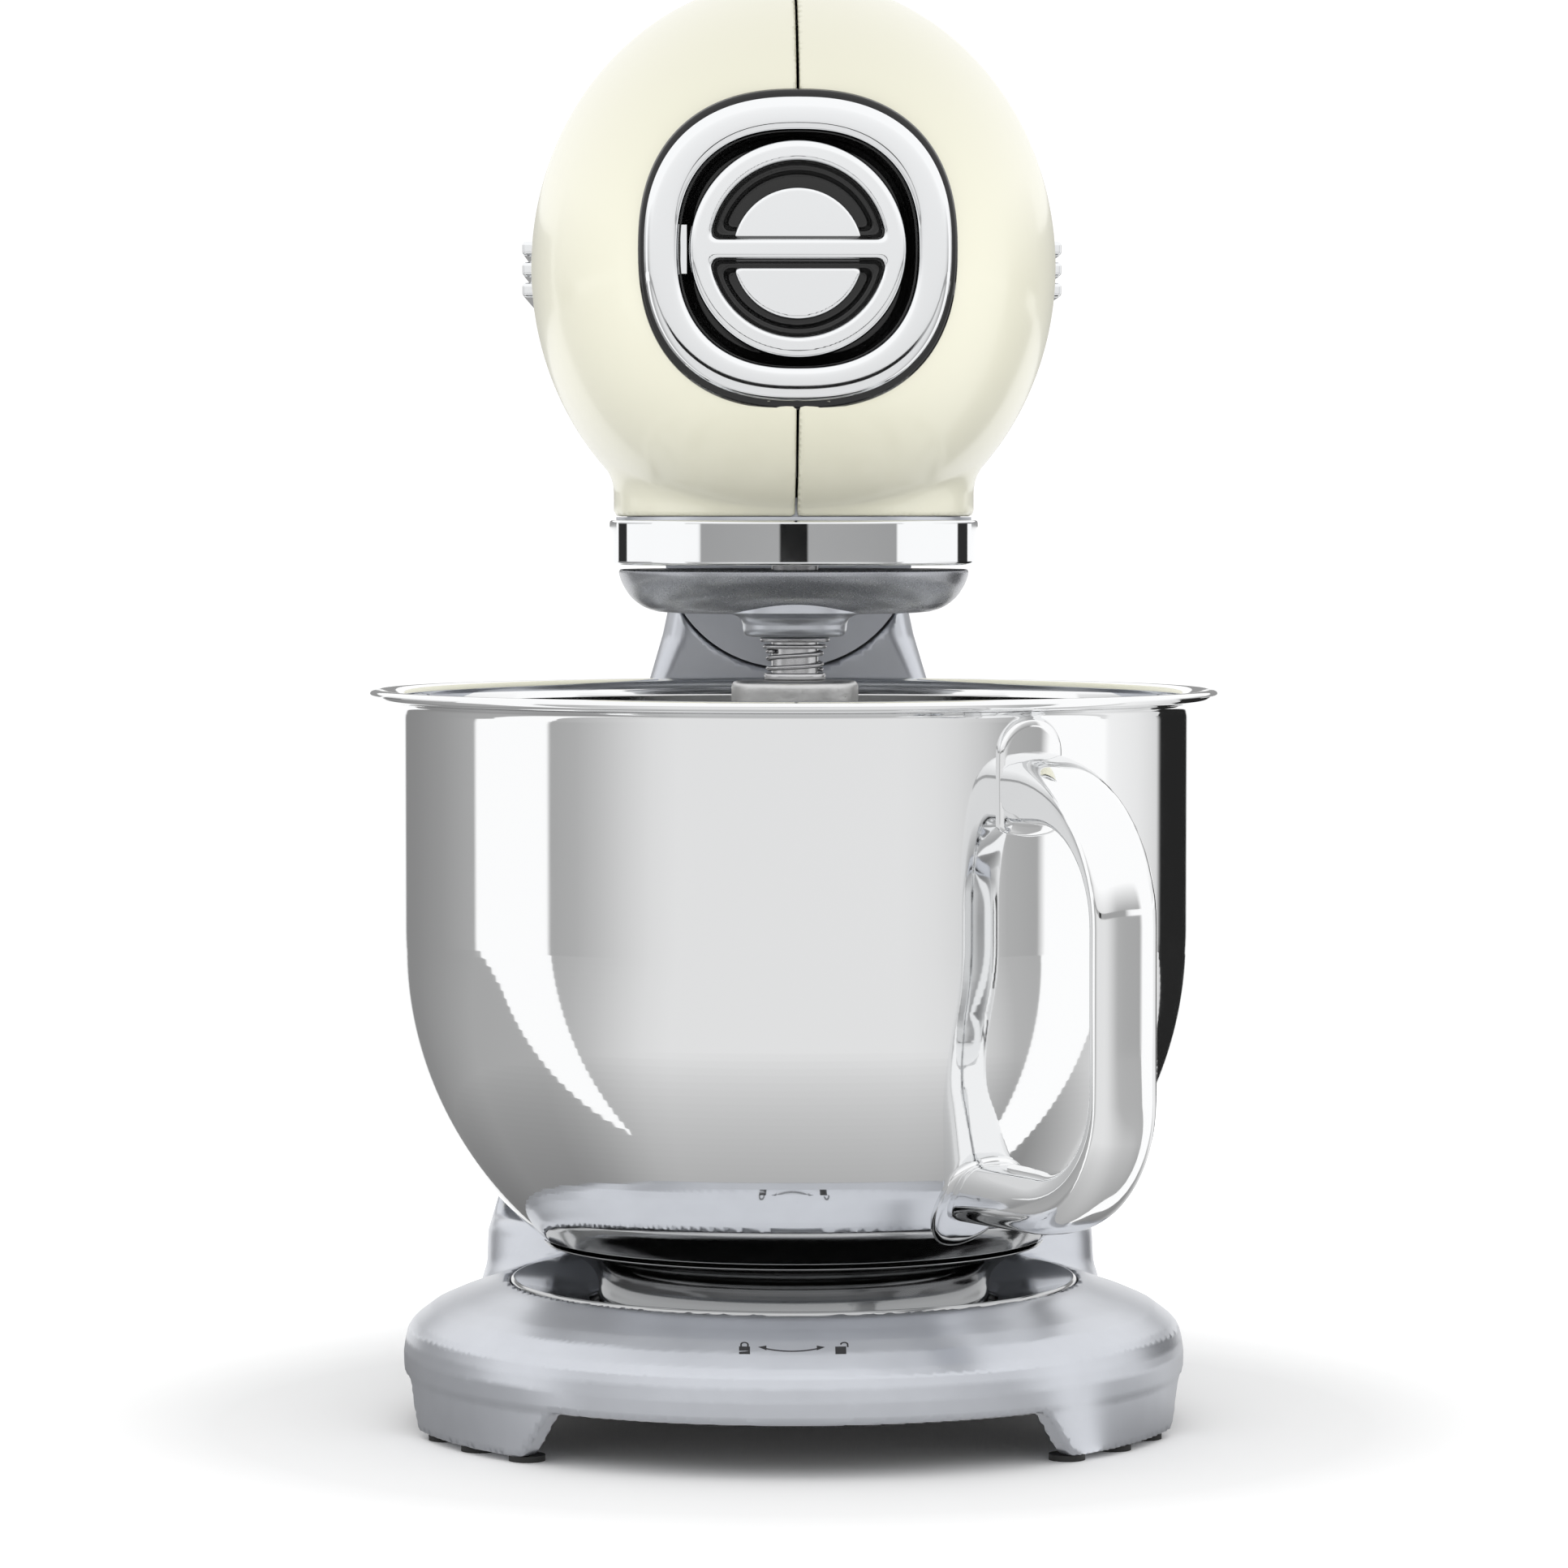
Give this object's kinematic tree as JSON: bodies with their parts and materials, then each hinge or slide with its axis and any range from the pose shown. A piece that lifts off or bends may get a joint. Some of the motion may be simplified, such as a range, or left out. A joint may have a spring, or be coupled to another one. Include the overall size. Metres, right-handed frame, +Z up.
{
  "type": "stand mixer",
  "caption": "Tilt-head stand mixer with a planetary flat beater, steel twist-lock bowl with a handle, front attachment hub and top speed slide.",
  "frame": {"origin": "centre of the bounding box's bottom face, on the table under the mixer", "axes": "+Z up, the nose and the attachment hub point along -Y, +X is on the right as seen from the front"},
  "size_m": [0.221, 0.4193, 0.381],
  "materials": {
    "cream_enamel": "gloss cream enamel",
    "silver_enamel": "satin silver metallic paint on die-cast aluminium",
    "polished_steel": "polished stainless steel",
    "chrome_trim": "bright chrome",
    "burnished_aluminium": "burnished cast aluminium",
    "cast_aluminium": "plain casting",
    "plain_steel": "ground steel",
    "screw_steel": "zinc plated",
    "spring_steel": "drawn wire",
    "laminated_steel": "laminated sheet",
    "copper_wire": "lacquered copper",
    "dark_sheet": "black painted sheet",
    "rubber": "matt",
    "black_plastic": "moulded",
    "circuit_board": "lacquered board"
  },
  "bodies": {
    "stand": {"stand_casting": "silver_enamel", "bottom_plate": "dark_sheet", "rubber_feet": "rubber", "bottom_screws": "screw_steel", "bowl_seat": "polished_steel", "seat_screws": "screw_steel", "hinge_pin": "screw_steel", "cable_gland": "black_plastic", "power_board": "circuit_board", "lock_guide": "chrome_trim"},
    "lock": {"lock_button": "chrome_trim", "lock_rod": "plain_steel", "lock_spring": "spring_steel"},
    "bowl": {"bowl_shell": "polished_steel", "bowl_foot": "polished_steel", "bowl_handle": "polished_steel"},
    "head": {"head_shell_left": "cream_enamel", "head_shell_right": "cream_enamel", "head_frame": "silver_enamel", "chrome_band": "chrome_trim", "ring_gear": "plain_steel", "gearbox_plate": "cast_aluminium", "bearings": "plain_steel", "motor_stator": "laminated_steel", "motor_windings": "copper_wire", "motor_bracket": "cast_aluminium", "carbon_brushes": "black_plastic", "pto_housing": "cast_aluminium", "hub_gasket": "black_plastic", "hub_bezel": "chrome_trim", "hub_recess": "black_plastic", "hub_stop": "chrome_trim", "speed_trim": "chrome_trim", "speed_board": "circuit_board", "speed_sensor": "black_plastic", "side_trim_left": "chrome_trim", "side_trim_right": "chrome_trim", "frame_screws": "screw_steel"},
    "planetary": {"planet_carrier": "silver_enamel", "output_shaft": "plain_steel", "output_gear": "plain_steel", "bevel_drive_gear": "plain_steel"},
    "tool": {"tool_shaft": "plain_steel", "planet_pinion": "plain_steel", "cross_pin": "plain_steel", "upper_washers": "plain_steel", "tool_spring": "spring_steel"},
    "beater": {"flat_beater": "burnished_aluminium", "lower_washer": "plain_steel"},
    "layshaft": {"layshaft": "plain_steel", "layshaft_gear": "plain_steel"},
    "rotor": {"rotor_shaft": "plain_steel", "rotor_core": "laminated_steel", "commutator": "copper_wire", "cooling_fan": "black_plastic"},
    "pto": {"pto_shaft": "plain_steel"},
    "knob": {"hub_knob": "chrome_trim"},
    "lever": {"speed_lever": "chrome_trim"}
  },
  "joints": [
    {"name": "head_tilt", "type": "hinge", "parent": "stand", "child": "head", "pos_m": [0, 0.152, 0.238], "axis": [-1, 0, 0], "range_deg": [0, 33]},
    {"name": "planetary_spin", "type": "hinge", "parent": "head", "child": "planetary", "pos_m": [0, -0.08, 0.25], "axis": [0, 0, 1], "continuous": true},
    {"name": "tool_spin", "type": "hinge", "parent": "planetary", "child": "tool", "pos_m": [0, -0.1025, 0.2], "axis": [0, 0, 1], "continuous": true},
    {"name": "beater_lift", "type": "slide", "parent": "tool", "child": "beater", "axis": [0, 0, 1], "range_m": [0, 0.004], "stiffness_N_per_m": 900, "springref_m": -0.003, "deforming": ["tool_spring"]},
    {"name": "layshaft_spin", "type": "hinge", "parent": "head", "child": "layshaft", "pos_m": [0, -0.0425, 0.25], "axis": [0, 0, 1], "continuous": true},
    {"name": "motor_spin", "type": "hinge", "parent": "head", "child": "rotor", "pos_m": [0, -0.005, 0.3], "axis": [0, 0, 1], "continuous": true},
    {"name": "hub_spin", "type": "hinge", "parent": "head", "child": "pto", "pos_m": [0, -0.08, 0.302], "axis": [0, -1, 0], "continuous": true},
    {"name": "knob_turn", "type": "hinge", "parent": "head", "child": "knob", "pos_m": [0, -0.16, 0.302], "axis": [0, -1, 0], "range_deg": [0, 90]},
    {"name": "speed_slide", "type": "slide", "parent": "head", "child": "lever", "axis": [0, -1, 0], "range_m": [0, 0.084]},
    {"name": "lock_press", "type": "slide", "parent": "stand", "child": "lock", "axis": [0, -1, 0], "range_m": [0, 0.006], "stiffness_N_per_m": 400, "springref_m": -0.004, "deforming": ["lock_spring"]},
    {"name": "bowl_twist", "type": "hinge", "parent": "stand", "child": "bowl", "pos_m": [0, -0.08, 0.03], "axis": [0, 0, 1], "range_deg": [0, 30]}
  ],
  "couplings": [
    {"joint": "tool_spin", "follows": "planetary_spin", "ratio": -3},
    {"joint": "layshaft_spin", "follows": "planetary_spin", "ratio": -3.2857},
    {"joint": "motor_spin", "follows": "planetary_spin", "ratio": 13.143},
    {"joint": "hub_spin", "follows": "planetary_spin", "ratio": 1}
  ]
}
